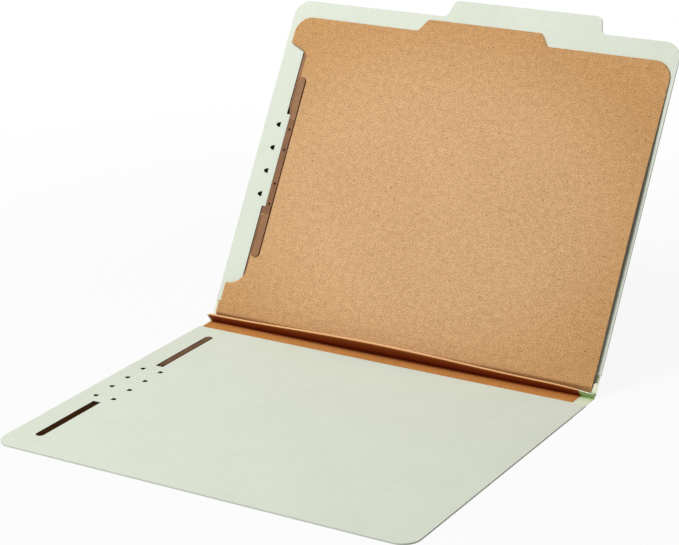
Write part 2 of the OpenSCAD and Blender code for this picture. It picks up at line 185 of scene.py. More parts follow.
class FolderFasteners(bpy.types.PropertyGroup):
    """Sizes and colours of the prongs, strips and rivets."""
    inset: length("Inset", "Left cover edge to the line of prongs", 18.8)
    front_shift: length("Front shift", "Cover's middle to fastener's, front", 3.4)
    back_shift: length("Back shift", "Cover's middle to fastener's, back", 6.4)
    strip_shift: length("Strip shift", "Back fastener's middle to divider's", 5.1)
    strip_width: length("Strip width", "Width of the divider's base strips", 5.5)
    overhang: length("Overhang", "Strip past the recess's edge", 0.2)
    pitch: length("Pitch", "Distance between two prongs' roots", 69.85)
    root_gap: length("Root gap", "Turning axis to the prong's root", 0.2)
    cover_prong: length("Cover prong", "Length of a cover's prong", 60)
    cover_width: length("Cover prong width", "Width of a cover's prong", 4.6)
    leaf: length("Divider prong", "Length of a divider's prong", 32)
    leaf_extra: length("Divider prong extra", "Divider's prong past its strip's left edge", 1.3)
    neck: length("Neck", "Width of a prong's neck", 2.4)
    neck_length: length("Neck length", "Length of a prong's neck", 3.6)
    low_neck: length("Low neck", "Root of a divider's lower prong to its shoulder", 0.9)
    high_neck: length("High neck", "Root of a divider's upper prong to its shoulder", 8.5)
    metal: length("Metal", "Thickness of the fastener metal", 0.35)
    crown: length("Crown", "How far a prong's edges roll down", 0.1)
    rivet_inner: length("Inner rivet", "Middle to inner rivets", 12.6)
    rivet_outer: length("Outer rivet", "Middle to outer rivets", 27.7)
    head: length("Rivet head", "Radius of a rivet's head", 1.35)
    bore: length("Rivet bore", "Radius of a rivet's bore", 0.78)
    brown: colour("Brown coat", "Satin brown coating of the prongs", 0.300, 0.153, 0.072)
    strip: colour("Strip coat", "Coating of the divider's base strips", 0.240, 0.112, 0.052)
    strip_extra: length("Strip extra", "Extra width of the front strip's lower end", 2.6)
    strip_end: length("Strip end", "Strips' middle to the front strip's wide lower end", 29.9)
    # Painted shade: a darker copy of the brown coat for the front cover's inner prong
    wear_and_painted_light: colour("Rubbed coat", "Coating of the front cover's inner prong", 0.180, 0.100, 0.056)
    # Painted shade: a near-black copy of the brown coat for prongs deep in a slot and for edges
    shaded: colour("Shaded coat", "Coating of the prongs deep in a slot", 0.038, 0.015, 0.005)
    # Painted shade: near black for the hidden base plates seen through holes and the rivets' bore ends
    dark: colour("Dark coat", "Coating of the hidden base plates", 0.012, 0.008, 0.006)


class FolderStage(bpy.types.PropertyGroup):
    """Camera and light."""
    azimuth: angle("Azimuth", "Camera's turn round the folder", 31.696)
    elevation: angle("Elevation", "Camera's height above the horizon", 19.705)
    roll: angle("Roll", "Camera's roll", 1.315)
    focal: bpy.props.FloatProperty(name="Focal length", description="In picture widths",
                                   default=2203.9 / 679)
    distance: length("Distance", "Camera to the folder's origin, along the view", 1476.6)
    shift_x: length("Shift right", "Origin's place right of the picture's middle", 29.40)
    shift_y: length("Shift down", "Origin's place below the picture's middle", 62.04)
    sky: share("Sky", "Light of the even white surroundings", 0.12)
    key: bpy.props.FloatProperty(name="Key", description="Power of the large soft lamp",
                                 default=40.5, unit="POWER")
    floor_white: share("Floor white", "How far the floor is lifted to plain white", 0.92)


# Frames of the sheets

def turned(point, turn):
    """The point [y, z] turned by an angle about the origin."""
    c, s = math.cos(turn), math.sin(turn)
    return np.array([point[0] * c - point[1] * s, point[0] * s + point[1] * c])


def zigzag(scene):
    """The gusset's section: six straight stretches and the five creases between them.

    Each stretch is (start, angle, length), with its outer cloth face on the line from start.
    Each crease is (axis, turn): the next stretch is the last one turned about that axis.
    """
    g = scene.folder_gusset
    back = scene.folder_covers.back_angle
    fall = g.rise - math.pi + g.opening
    first = np.array([g.hinge_gap, 0.0])
    valley_1 = first + [g.panel, g.stack]
    second = valley_1 - turned([0, g.stack], g.rise)
    ridge = second + turned([g.pleat, -g.ridge_gap / 2], g.rise)
    third = ridge - turned([0, -g.ridge_gap / 2], fall)
    valley_2 = third + turned([g.pleat, g.stack], fall)
    fourth = valley_2 - turned([0, g.stack], back)
    cover = fourth + turned([g.panel, 0], back)
    stretches = [
        (np.array([-g.flap, 0.0]), 0.0, g.flap + g.hinge_gap),
        (first, 0.0, g.panel),
        (second, g.rise, g.pleat),
        (third, fall, g.pleat),
        (fourth, back, g.panel),
        (cover, back, g.flap + g.hinge_gap),
    ]
    creases = [
        (first + [0, g.cloth], 0.0),
        (valley_1, g.rise),
        (ridge, fall - g.rise),
        (valley_2, back - fall),
        (cover + turned([0, g.cloth], back), 0.0),
    ]
    return stretches, creases


def on_sheet(start, turn, x, v, n):
    """Points at x along the spine, v up a sheet and n out from its outer face."""
    y = start[0] + v * math.cos(turn) - n * math.sin(turn)
    z = start[1] + v * math.sin(turn) + n * math.cos(turn)
    return np.stack(np.broadcast_arrays(x, y, z), -1)


def on_back(scene, x, v, n):
    """Points in the back cover's axes, which the divider shares."""
    start, turn, _ = zigzag(scene)[0][5]
    return on_sheet(start, turn, x, v, n)


def on_front(scene, x, v, n):
    """Points in the front cover's axes, with v from the spine outwards."""
    return np.stack(np.broadcast_arrays(x, -v, n), -1)


def smooth(t):
    """The curve 3t^2 - 2t^3, held at 0 and 1 outside."""
    t = np.clip(t, 0, 1)
    return t * t * (3 - 2 * t)


# Meshes

def quads(a, b, c, d):
    """Four arrays of vertex numbers as rows of quads."""
    return np.stack([a, b, c, d], -1).reshape(-1, 4)


def grid_faces(numbers):
    """The quads between neighbours of a grid of vertex numbers."""
    return quads(numbers[:-1, :-1], numbers[1:, :-1], numbers[1:, 1:], numbers[:-1, 1:])


def slab(high, low):
    """A closed sheet: two grids of points, joined along all four edges by a rim of quads."""
    rows, cols = high.shape[:2]
    top = np.arange(rows * cols).reshape(rows, cols)
    bottom = top + rows * cols
    faces = [grid_faces(top), grid_faces(bottom.T)]
    for a, b in ((top[0], bottom[0]), (bottom[-1], top[-1]),
                 (bottom[:, 0], top[:, 0]), (top[:, -1], bottom[:, -1])):
        faces.append(quads(a[:-1], a[1:], b[1:], b[:-1]))
    points = np.concatenate([high.reshape(-1, 3), low.reshape(-1, 3)])
    return points, np.concatenate(faces)


def slab_uv(u, v):
    """The UV of a closed sheet's two faces, from places along and across the flat sheet."""
    face = np.stack(np.broadcast_arrays(u, v), -1).reshape(-1, 2)
    return np.concatenate([face, face])


def joined(grids):
    """Several grids, each of points and their UVs, as one list of points, quads and UVs."""
    points, faces, flat, count = [], [], [], 0
    for place, uv in grids:
        numbers = np.arange(place.shape[0] * place.shape[1]).reshape(place.shape[:2])
        faces.append(grid_faces(numbers + count))
        points.append(place.reshape(-1, 3))
        flat.append(uv.reshape(-1, 2))
        count += numbers.size
    return np.concatenate(points), np.concatenate(faces), np.concatenate(flat)


# Distances in metres at which points are merged and edges count as nothing
MERGE = 2e-6
NO_LENGTH = 1e-7


def piece(name, points, faces, uv, material, sharp=35, marks=None, shade=None):
    """A mesh object from arrays of points, quads and a UV for each point, in metres.

    Doubles are merged first, so poles and patches close, and a closed shell's faces then
    point outwards. Marks give a face the number of its material. Shade is kept as an attribute
    of the points for materials that change in a fold.
    """
    mesh = bpy.data.meshes.new(name)
    mesh.from_pydata(points.tolist(), [], faces.tolist())
    if marks is not None:
        mesh.polygons.foreach_set("material_index", marks.astype(np.int32))
    if shade is not None:
        kept = mesh.attributes.new("shade", "FLOAT", "POINT")
        kept.data.foreach_set("value", shade.astype(np.float32))
    layer = mesh.uv_layers.new(name="Sheet")
    corner = np.empty(len(mesh.loops), dtype=np.int32)
    mesh.loops.foreach_get("vertex_index", corner)
    layer.data.foreach_set("uv", uv[corner].astype(np.float32).ravel())
    shell = bmesh.new()
    shell.from_mesh(mesh)
    bmesh.ops.remove_doubles(shell, verts=shell.verts, dist=MERGE)
    bmesh.ops.dissolve_degenerate(shell, edges=shell.edges, dist=NO_LENGTH)
    bmesh.ops.recalc_face_normals(shell, faces=shell.faces)
    shell.to_mesh(mesh)
    shell.free()
    mesh.polygons.foreach_set("use_smooth", np.ones(len(mesh.polygons), dtype=bool))
    mesh.set_sharp_from_angle(angle=math.radians(sharp))
    mesh.materials.append(material)
    made = bpy.data.objects.new(name, mesh)
    bpy.context.scene.collection.objects.link(made)
    return made


# Shader expressions

# Sockets of a colour Mix node, whose names repeat: factor, first, second and result
MIX_FACTOR, MIX_FIRST, MIX_SECOND, MIX_RESULT = 0, 6, 7, 2


class Wire:
    """A node socket in a material, with operators that add the Math nodes for an expression."""

    def __init__(self, tree, socket=None):
        self.tree = tree
        self.socket = socket

    def add(self, kind, settings=None, inputs=None, out=0):
        """A node of any type: its settings first, then the values or wires of its sockets."""
        node = self.tree.nodes.new(kind)
        for key, value in (settings or {}).items():
            setattr(node, key, value)
        for key, value in (inputs or {}).items():
            if isinstance(value, Wire):
                self.tree.links.new(value.socket, node.inputs[key])
            else:
                node.inputs[key].default_value = value
        return Wire(self.tree, node.outputs[out] if len(node.outputs) else None)

    def maths(self, operation, first, second):
        """A Math node on two numbers or wires."""
        return self.add("ShaderNodeMath", {"operation": operation}, {0: first, 1: second})

    def __add__(self, other):
        return self.maths("ADD", self, other)

    __radd__ = __add__

    def __sub__(self, other):
        return self.maths("SUBTRACT", self, other)

    def __rsub__(self, other):
        return self.maths("SUBTRACT", other, self)

    def __mul__(self, other):
        return self.maths("MULTIPLY", self, other)

    __rmul__ = __mul__

    def __truediv__(self, other):
        return self.maths("DIVIDE", self, other)

    def noise(self, scale, detail=3.0, roughness=0.55, distortion=0.0):
        """Cloudy noise of that many waves a metre, at this place vector."""
        return self.add("ShaderNodeTexNoise", {"noise_dimensions": "3D"}, {
            "Vector": self, "Scale": scale, "Detail": detail, "Roughness": roughness,
            "Distortion": distortion})

    def stretched(self, x, y, z, turn=0.0):
        """The place vector, turned about Z and scaled along each axis."""
        return self.add("ShaderNodeMapping", {"vector_type": "POINT"}, {
            "Vector": self, "Rotation": (0, 0, turn), "Scale": (x, y, z)})

    def between(self, low, high):
        """A smooth step from 0 at low to 1 at high."""
        return self.add("ShaderNodeMapRange", {"interpolation_type": "SMOOTHSTEP"}, {
            "Value": self, "From Min": low, "From Max": high})

    def mix(self, first, second, blend="MIX"):
        """From the first colour to the second, or to the two blended, by this factor."""
        settings = {"data_type": "RGBA", "blend_type": blend, "clamp_factor": True}
        inputs = {MIX_FACTOR: self, MIX_FIRST: first, MIX_SECOND: second}
        return self.add("ShaderNodeMix", settings, inputs, MIX_RESULT)

    def axis(self, number):
        """One number of this place vector."""
        return self.add("ShaderNodeSeparateXYZ", None, {0: self}, out=number)

    def away(self, middle):
        """How far this number is from the middle, to either side."""
        return self.maths("ABSOLUTE", self - middle, 0.0)

    def bump(self, depth, strength=1.0):
        """A normal from this height, depth metres high."""
        return self.add("ShaderNodeBump", None, {
            "Height": self, "Distance": depth, "Strength": strength})


def rgba(value):
    """A colour with full alpha."""
    return (value[0], value[1], value[2], 1.0)


def new_material(name):
    """An empty node material and a wire to build on."""
    material = bpy.data.materials.new(name)
    material.use_nodes = True
    material.node_tree.nodes.clear()
    return material, Wire(material.node_tree)


def finish_material(wire, inputs):
    """A principled surface with these sockets, joined to the material's output."""
    shader = wire.add("ShaderNodeBsdfPrincipled", None, inputs)
    wire.add("ShaderNodeOutputMaterial", {"target": "ALL"}, {"Surface": shader})


def object_place(wire, tilt=0.0):
    """Object coordinates in metres, turned so that a tilted sheet lies in X and Y."""
    place = wire.add("ShaderNodeTexCoord", None, None, "Object")
    return wire.add("ShaderNodeMapping", {"vector_type": "POINT"}, {
        "Vector": place, "Rotation": (-tilt, 0, 0)})


def sheet_place(wire):
    """The piece's own UV in metres, so a pattern stays on a sheet that bends."""
    return wire.add("ShaderNodeUVMap", {"uv_map": "Sheet"})


def fold_shade(wire):
    """The piece's painted shade: up to 1 deep in a fold, down to -1 at a painted crest highlight."""
    return wire.add("ShaderNodeAttribute", {"attribute_name": "shade"}, None, "Fac")


def folded_tone(wire, stock, fold, crest):
    """The stock, changed to painted fold shade and painted crest highlight by the piece's shade."""
    depth = fold_shade(wire)
    sunk = depth.between(0.0, 1.0).mix(stock, rgba(fold))
    return (0.0 - depth).between(0.0, 1.0).mix(sunk, rgba(crest))


# Depths below the outer ply and below the board's inner face between which painted shade lies
PLY_EDGE = (0.06 * MM, 0.02 * MM)
FACE_EDGE = (0.09 * MM, 0.04 * MM)
# Distances from a fastener's middle, across and along, over which the painted shade of the slots ends
SLOT_SHADE_SIDE = (11 * MM, 12 * MM)
SLOT_SHADE_END = (103 * MM, 104 * MM)


def pressboard(name, settings, tilt, level, middle):
    """Pressed fibre board: soft clouds, fine mottle, short fibres both ways and a few flecks.

    Round the fastener's middle the floors and the walls of the slots and holes get a near-black
    painted shade. Level is the height of its outer face.
    """
    material, wire = new_material(name)
    place = object_place(wire, tilt)
    clouds = place.noise(22, 3)
    mottle = place.noise(420, 4, 0.62)
    along = place.stretched(1, 7, 1, 0.3).noise(150, 3, 0.6)
    across = place.stretched(8, 1, 1, -0.4).noise(140, 3, 0.6)
    fibres = along + across - 1.0
    tone = 0.5 + 0.8 * (clouds - 0.5) + 1.0 * (mottle - 0.5) + 0.6 * fibres
    board = tone.mix(rgba(settings.deep), rgba(settings.pale))
    flecks = place.stretched(1, 5, 1, 0.8).noise(260, 2, 0.5).between(0.70, 0.80)
    board = (flecks * 0.55).mix(board, rgba(settings.fleck))
    height = place.axis(2) - level
    ply, board_top = settings.outer_ply, settings.board
    inside = (height.between(ply - PLY_EDGE[0], ply - PLY_EDGE[1])
              * (1 - height.between(board_top - FACE_EDGE[0], board_top - FACE_EDGE[1])))
    beside = 1 - place.axis(0).away(middle[0]).between(*SLOT_SHADE_SIDE)
    along_slots = 1 - place.axis(1).away(middle[1]).between(*SLOT_SHADE_END)
    # Painted shade of the slots and holes, mottled towards black
    core = (0.7 + 0.6 * mottle).mix((0, 0, 0, 1), rgba(settings.core))
    board = (inside * beside * along_slots).mix(board, core)
    relief = 0.7 * mottle + 0.4 * fibres
    finish_material(wire, {
        "Base Color": board,
        "Roughness": 0.74 + 0.25 * (mottle - 0.5),
        "Specular IOR Level": 0.25,
        "Normal": relief.bump(0.06 * MM, 0.6),
    })
    return material


def kraft(name, pale, deep, speck, grain=1.0, warp=0.0, folds=None, edge_shade=None):
    """Kraft stock: clumped pulp, fine grain, long fibres both ways and bark specks.

    Folds are the painted shade deep in a fold and the painted highlight at a crest. The tint for
    the edges is a painted shade, given with the middle and the half sizes of the sheet that it
    darkens towards the edges.
    """
    material, wire = new_material(name)
    place = sheet_place(wire)
    clouds = place.noise(14, 3, 0.5)
    clumps = place.noise(240, 4, 0.6)
    pulp = place.noise(1150, 3, 0.65)
    along = place.stretched(1, 9, 1, 0.12).noise(95, 4, 0.65)
    across = place.stretched(9, 1, 1, -0.2).noise(100, 4, 0.65)
    hairs = along + across - 1.0
    tone = (0.5 + warp * (clouds - 0.5) + grain * 0.9 * (clumps - 0.5)
            + grain * 3.9 * (pulp - 0.5) + grain * 0.3 * hairs)
    stock = tone.mix(rgba(deep), rgba(pale))
    bark = place.stretched(1, 2.2, 1, 0.5).noise(330, 1, 0.4).between(0.715, 0.79)
    stock = (bark * 0.8).mix(stock, rgba(speck))
    # Painted shade that darkens the sheet towards its edges
    if edge_shade is not None:
        tint, middle, half = edge_shade
        across = (place.axis(0) - middle[0]) / half[0]
        up = (place.axis(1) - middle[1]) / half[1]
        edge = (across * across + up * up + 0.5 * (clouds - 0.5)).between(0.25, 1.7)
        stock = edge.mix(stock, rgba(tint), "MULTIPLY")
    # Painted shade deep in the folds and painted highlight at the crest, by the piece's shade
    if folds is not None:
        stock = folded_tone(wire, stock, *folds)
    relief = 1.0 * pulp + 0.3 * hairs
    finish_material(wire, {
        "Base Color": stock,
        "Roughness": 0.82 + 0.3 * (pulp - 0.5),
        "Specular IOR Level": 0.22,
        "Normal": relief.bump(0.09 * MM, 0.7),
    })
    return material


def spun_cloth(name, settings):
    """Spun fibre cloth: swirled bundles of fibre with thinner places between them."""
    material, wire = new_material(name)
    place = sheet_place(wire)
    swirl = place.noise(160, 4, 0.6, 1.6)
    strands = place.stretched(1, 5, 1, 0.6).noise(240, 3, 0.6, 0.8)
    crossed = place.stretched(5, 1, 1, 0.2).noise(230, 3, 0.6, 0.8)
    weave = 0.5 + 1.1 * (swirl - 0.5) + 0.8 * (strands - 0.5) + 0.8 * (crossed - 0.5)
    stock = weave.mix(rgba(settings.deep), rgba(settings.pale))
    finish_material(wire, {
        # Painted shade in the folds and painted highlight at the crests
        "Base Color": folded_tone(wire, stock, settings.fold, settings.crest),
        "Roughness": 0.55 + 0.3 * (swirl - 0.5),
        "Specular IOR Level": 0.35,
        "Normal": (strands + crossed).bump(0.08 * MM, 0.6),
    })
    return material


def coated_metal(name, tone, place_of, gloss=0.48, wear_and_shade=0.15, specular=0.12):
    """Satin coated steel: a fine orange peel, cloudy gloss and small rubbed places."""
    material, wire = new_material(name)
    place = place_of(wire)
    peel = place.noise(1500, 2, 0.5)
    clouds = place.noise(90, 3, 0.6)
    wear_and_painted_light = place.stretched(1, 6, 1).noise(260, 3, 0.6).between(0.62, 0.80)
    bright = [min(1.0, 1.9 * c + 0.02) for c in tone]
    deep = [0.72 * c for c in tone]
    pale = [1.22 * c for c in tone]
    coat = (0.5 + 1.6 * (clouds - 0.5) + 0.5 * (peel - 0.5)).mix(rgba(deep), rgba(pale))
    finish_material(wire, {
        "Base Color": (wear_and_painted_light * wear_and_shade).mix(coat, rgba(bright)),
        "Roughness": gloss + 0.35 * (clouds - 0.5),
        "Specular IOR Level": specular,
        "Normal": peel.bump(0.02 * MM, 0.5),
    })
    return material


# Gusset

CREASE_NAMES = ["front_fold", "first_valley", "ridge", "second_valley", "back_fold"]
# Share of each stretch's depth at which the piece of one crease hands over to the next
HAND_OVER = [0.0, 0.3, 0.22, 0.78, 0.7, 1.0]
CLOTH_NODES = ["gusset_front_flap", "gusset_panel_1", "gusset_panel_2", "gusset_panel_3",
               "gusset_panel_4", "gusset_back_flap"]
# Number of the crease at the ridge, and of those that lie flat against the covers
RIDGE = 2
FLAT_CREASES = (0, 4)
# A crease that turns by less than this lies flat, and its span reaches this far to each side
FLAT_TURN = 0.01
FLAT_REACH = 0.7 * MM
# Points along a straight run, round a bend, and along the spine's plain, sinking and loose parts
RUN_POINTS, BEND_POINTS = 14, 26
SPINE_POINTS = (61, 17, 15)
# Height above the cloth's outer face at which its length is measured
WALK_LEVEL = 0.1 * MM
# Places of neighbouring pieces in the flat pattern, so that they don't repeat each other
CREASE_UV, END_UV = 0.03, 0.2
# For each stretch, the share of the way up to the ridge, by the share of the way along it
RISE = [np.zeros_like, np.zeros_like, lambda t: t, lambda t: 1 - t, np.zeros_like, np.zeros_like]
# How far the ridge's two panels spread as it bows, and the share of its bend that its span covers
RIDGE_SPREAD = 0.07
RIDGE_TURN = 0.3
# Share of any other bend that its span leaves off at each of its ends
BEND_INSET = 0.15
# How slowly the ridge begins to sink, as a power of the way along
SINK_POWER = 1.6
# Shares of the last panel over which a loose end lifts, where it is back, and over which it falls
LOOSE_LIFT, LOOSE_END, LOOSE_FALL = 0.12, 0.69, 0.1
# Length along the spine over which a loose end leaves the panel
LOOSE_STEP = 0.5 * MM
# For each stretch, the share by which its loose end stands off, by the share of the way along
STAND = [np.zeros_like] * 4 + [
    lambda t: smooth(t / LOOSE_LIFT) * smooth((LOOSE_END - t) / LOOSE_FALL), np.zeros_like]
# Distances over which the shade of the valleys fades out on the first and the last panel
FRONT_FADE, BACK_FADE = 3.8 * MM, 2.0 * MM
# For each stretch, the shade in the folds, by the distance along it and its length
SHADE = [
    lambda v, size: 0 * v,
    lambda v, size: np.exp(-np.maximum(size - v, 0) / FRONT_FADE),
    lambda v, size: 1 - 0.25 * v / size,
    lambda v, size: 0.1 + 0.7 * v / size,
    lambda v, size: 0.8 * np.exp(-v / BACK_FADE),
    lambda v, size: 0 * v,
]
# Painted shade on the ridge's front side and painted highlight at its crest, and the shares of
# its bend between them
RIDGE_DEEP, RIDGE_HIGHLIGHT = 0.7, -1.0
HIGHLIGHT_BEGIN, HIGHLIGHT_WIDTH = 0.28, 0.14
# Slow waves of a folded panel along the spine: share of the height, waves a metre, and start
EVEN_SHARE = 0.5
WAVES = ((0.3, 41, 0.6), (0.2, 97, 2.1))
# How far the lining reaches in behind the left end of the divider's foot
FOOT_COVER = 0.5 * MM


def straight_run(first, last, near_end):
    """Distances along a stretch, closer together towards the crease at one end."""
    t = np.linspace(0, 1, RUN_POINTS) ** 2
    return last - (last - first) * t[::-1] if near_end else first + (last - first) * t


def crease_path(stretches, creases, number):
    """The section from inside one stretch, round a crease, to a place inside the next.

    Returns the outer face's line, the direction across the sheet at each point, the distance
    along the unrolled sheet, the share of the way from a valley up to the ridge, the share by
    which a loose end stands off, and the shade in the folds. A stretch is start + v * direction.
    Round the crease the last point of the stretch turns about the axis through the crease's
    angle.
    """
    axis, turn = creases[number]
    line, across, rise, standing, shade = [], [], [], [], []
    for k, half in ((number, 0), (number + 1, 1)):
        start, tilt, size = stretches[k]
        split = HAND_OVER[k] * size
        first, last = (split, size) if half == 0 else (0, split)
        run = straight_run(first, last, half == 0)
        direction = turned([1, 0], tilt)
        normal = turned([0, 1], tilt)
        points = start + run[:, None] * direction
        line.append(points)
        across.append(np.tile(normal, (len(run), 1)))
        rise.append(RISE[k](run / size))
        standing.append(STAND[k](run / size))
        shade.append(SHADE[k](run, size))
        if half == 0 and abs(turn) > FLAT_TURN:
            steps = np.linspace(0, turn, BEND_POINTS)[1:-1]
            c, s = np.cos(steps)[:, None], np.sin(steps)[:, None]
            arm = points[-1] - axis
            quarter = np.array([-arm[1], arm[0]])
            line.append(axis + arm * c + quarter * s)
            across.append(normal * c + np.array([-normal[1], normal[0]]) * s)
            # Painted highlight along the ridge's crest, after painted shade on its front side
            wear_and_painted_light = smooth((steps / turn - HIGHLIGHT_BEGIN) / HIGHLIGHT_WIDTH)
            rise.append(np.full(steps.shape, 1.0 if number == RIDGE else 0.0))
            standing.append(np.zeros_like(steps))
            shade.append(RIDGE_DEEP + (RIDGE_HIGHLIGHT - RIDGE_DEEP) * wear_and_painted_light if number == RIDGE
                         else np.ones_like(steps))
    line, across = np.concatenate(line), np.concatenate(across)
    middle = line + across * WALK_LEVEL
    walked = np.concatenate([[0], np.cumsum(np.linalg.norm(np.diff(middle, axis=0), axis=1))])
    return (line, across, walked, np.concatenate(rise), np.concatenate(standing),
            np.concatenate(shade))


def crease_span(stretches, creases, number, level):
    """Two points just inside a crease's bend, which span the crease."""
    axis, turn = creases[number]
    start, tilt, size = stretches[number]
    after, tilt_after, _ = stretches[number + 1]
    a = start + turned([size, level], tilt)
    b = after + turned([0, level], tilt_after)
    if abs(turn) < FLAT_TURN:
        reach = turned([FLAT_REACH, 0], tilt)
        a, b = axis - reach, axis + reach
    inset = (0.5 - RIDGE_TURN / 2 if number == RIDGE else BEND_INSET) * (b - a)
    a, b = a + inset, b - inset
    return (0, a[0], a[1]), (0, b[0], b[1])


def ripple(x, walked, height):
    """Slow unevenness of a folded panel: sine waves along the spine that fade at its creases.

    The waves only swell to the lined side, so that the first panel never dips under the table.
    """
    waves = EVEN_SHARE + sum(part * np.sin(rate * x + begin) for part, rate, begin in WAVES)
    return height * waves * np.sin(np.pi * np.clip(walked / walked.max(), 0, 1))


def folded_sheet(scene, number, name, low, high, left, right, material):
    """A layer of the gusset round one crease: the section's line carried along the spine.

    Its two faces are the line moved across the sheet by low and by high. Along its middle the
    ridge bows up and at its right end it sinks, each point by its share of the way up to the
    ridge. Beside the divider's foot the cloth's loose end stands off the last panel. The shade
    in the folds lies on the inner face alone. Returns the piece and its unrolled length.
    """
    stretches, creases = zigzag(scene)
    g = scene.folder_gusset
    line, across, walked, rise, standing, shade = crease_path(stretches, creases, number)
    cloth_end = scene.folder_covers.width / 2 - g.cloth_right
    loose = right - g.stand_width - LOOSE_STEP
    plain, sinking, free = SPINE_POINTS
    x = np.concatenate([np.linspace(left, right - g.sink_reach, plain)[:-1],
                        np.linspace(right - g.sink_reach, loose, sinking)[:-1],
                        np.linspace(loose, right, free)])[:, None]
    sunk = g.sink * np.clip((x - cloth_end) / g.sink_reach + 1, 0, 1) ** SINK_POWER
    bowed = g.bow * (0.5 + 0.5 * np.cos(math.pi * np.clip((x - g.bow_place) / g.bow_reach, -1, 1)))
    lifted = (bowed - sunk) * rise[None, :]
    slant = turned([1, 0], stretches[RIDGE][1]) + RIDGE_SPREAD * across
    stand = g.stand * smooth((x - cloth_end + g.stand_width) / LOOSE_STEP) * standing[None, :]
    out = x + g.stand_out * np.clip((x - cloth_end) / g.stand_width + 1, 0, 1) * standing[None, :]
    wave = ripple(x, walked[None, :], 0.0 if number in FLAT_CREASES else g.ripple)
    layers = []
    for level in (high, low):
        place = line[None] + across[None] * (level + wave + stand)[..., None]
        place += lifted[..., None] * slant
        layers.append(np.concatenate([out[..., None], place], -1))
    points, faces = slab(*layers)
    inner_face = np.broadcast_to(shade, wave.shape).ravel()
    made = piece(name, points, faces, slab_uv(x, number * CREASE_UV + walked[None, :]), material,
                 shade=np.concatenate([inner_face, np.zeros_like(inner_face)]))
    start, end = crease_span(stretches, creases, number, (low + high) / 2)
    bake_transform(made)
    return made, float(walked.max() - walked.min())


class FOLDER_OT_gusset_cloth(bpy.types.Operator):
    """Folds the cream cloth of the spine, one piece round each crease"""
    bl_idname = "folder.gusset_cloth"
    bl_label = "Gusset cloth"

    def execute(self, context):
        scene = context.scene
        g, covers = scene.folder_gusset, scene.folder_covers
        material = spun_cloth("spun fibre cloth", g)
        left = -covers.width / 2 - g.cloth_left
        right = covers.width / 2 - g.cloth_right
        for number, crease in enumerate(CREASE_NAMES):
            made, walked = folded_sheet(scene, number, "gusset_cloth_" + crease, 0.0, g.cloth,
                                        left, right, material)
            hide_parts(CLOTH_NODES[number], CLOTH_NODES[number + 1])
        return {"FINISHED"}


class FOLDER_OT_gusset_lining(bpy.types.Operator):
    """Lines the inside of the spine with kraft, one piece round each inner crease"""
    bl_idname = "folder.gusset_lining"
    bl_label = "Gusset lining"

    def execute(self, context):
        scene = context.scene
        g, covers = scene.folder_gusset, scene.folder_covers
        material = kraft("orange brown lining", g.kraft_pale, g.kraft_deep,
                         scene.folder_divider.speck, grain=0.8, warp=0.6,
                         folds=(g.kraft_fold, g.kraft_crest))
        left = -covers.width / 2 + g.lining_left
        right = covers.width / 2 - g.lining_right
        behind_foot = scene.folder_divider.foot_left - covers.width / 2 + FOOT_COVER
        for number in (1, 2, 3):
            begin = left if number < 3 else behind_foot
            made, _ = folded_sheet(scene, number, "gusset_lining_" + CREASE_NAMES[number],
                                   g.cloth, g.cloth + g.lining, begin, right, material)
            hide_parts(f"gusset_liner_{number}", f"gusset_liner_{number + 1}")
        stretches = zigzag(scene)[0]
        ends = (("gusset_lining_front_end", 1, g.setback, HAND_OVER[1] * g.panel, "gusset_1"),
                ("gusset_lining_back_end", 4, HAND_OVER[4] * g.panel, g.panel - g.setback,
                 "gusset_4"))
        for name, k, first, last, body in ends:
            start, turn, _ = stretches[k]
            x = np.linspace(left if k == 1 else behind_foot, right, 73)[:, None]
            v = np.linspace(first, last, 9)[None, :]
            points, faces = slab(on_sheet(start, turn, x, v, g.cloth + g.lining),
                                 on_sheet(start, turn, x, v, g.cloth))
            made = piece(name, points, faces, slab_uv(x, END_UV * k + v), material)
            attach(made, body)
            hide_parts(f"gusset_liner_{k}")
        return {"FINISHED"}


# Divider

# A slanted step begins this share of its radius early, and its curves take up this share more
STEP_EARLY, STEP_SPREAD = 0.55, 1.15
# The place right of which the sheet is free of its strips, and the length of the change
FREE_FROM, FREE_FADE = -112 * MM, 60 * MM
# Height from which the sheet leans to the cover, beside its strips and where it is free
LEAN_HELD, LEAN_FREE = 168 * MM, 93 * MM
# How far the middle of the free part swells
SWELL = 0.7 * MM
# Distances between columns of points: plain, on the tab's curves, on the lower and the upper ear
PLAIN_STEP, CURVE_STEP, LOW_EAR_STEP, HIGH_EAR_STEP = 3.2 * MM, 0.3 * MM, 1.2 * MM, 0.6 * MM
# Reach of the close columns outside the tab
TAB_MARGIN = 8 * MM
# Decimals of a metre to which columns of points are told apart
COLUMN_DECIMALS = 7
# How far the lower ear is lifted off the score line
EAR_LIFT = 0.35 * MM
# Share of the upper round by which the notch begins lower, and the power of its curve
NOTCH_SHARE, NOTCH_POWER = 0.55, 2.4
# Rows of points on the lower ear lie closer together towards the score line, by this power
EAR_POWER = 1.6
# Middle of the sheet's lightest part, away from the painted shade at its edges: its place left
# of the middle and its share of the height
LIT_SHIFT, LIT_HEIGHT = 10 * MM, 0.43
# Reach of the foot's soft bend, in times its softness
EASE_REACH = 5


def arc_fill(x, centre, radius, rising):
    """Height of a quarter circle above or below its flat side, at distances from its centre."""
    fall = radius - np.sqrt(np.maximum(radius ** 2 - np.clip(x - centre, -radius, radius) ** 2, 0))
    return fall if rising else -fall


def eased_step(x, foot, slant, height, radius):
    """A slanted step of that height from foot on, its two corners rounded to about radius."""
    t = np.clip((x - foot + STEP_EARLY * radius) / (slant + STEP_SPREAD * radius), 0, 1)
    return height * t ** 3 * (t * (6 * t - 15) + 10)


def divider_outline(scene):
    """Places of the divider's edges in the back cover's axes, as plain numbers."""
    d, covers = scene.folder_divider, scene.folder_covers
    half = covers.width / 2
    left, right = d.left - half, half - d.right
    top = scene.folder_gusset.hinge_gap + covers.depth - d.drop
    return left, right, d.score, top


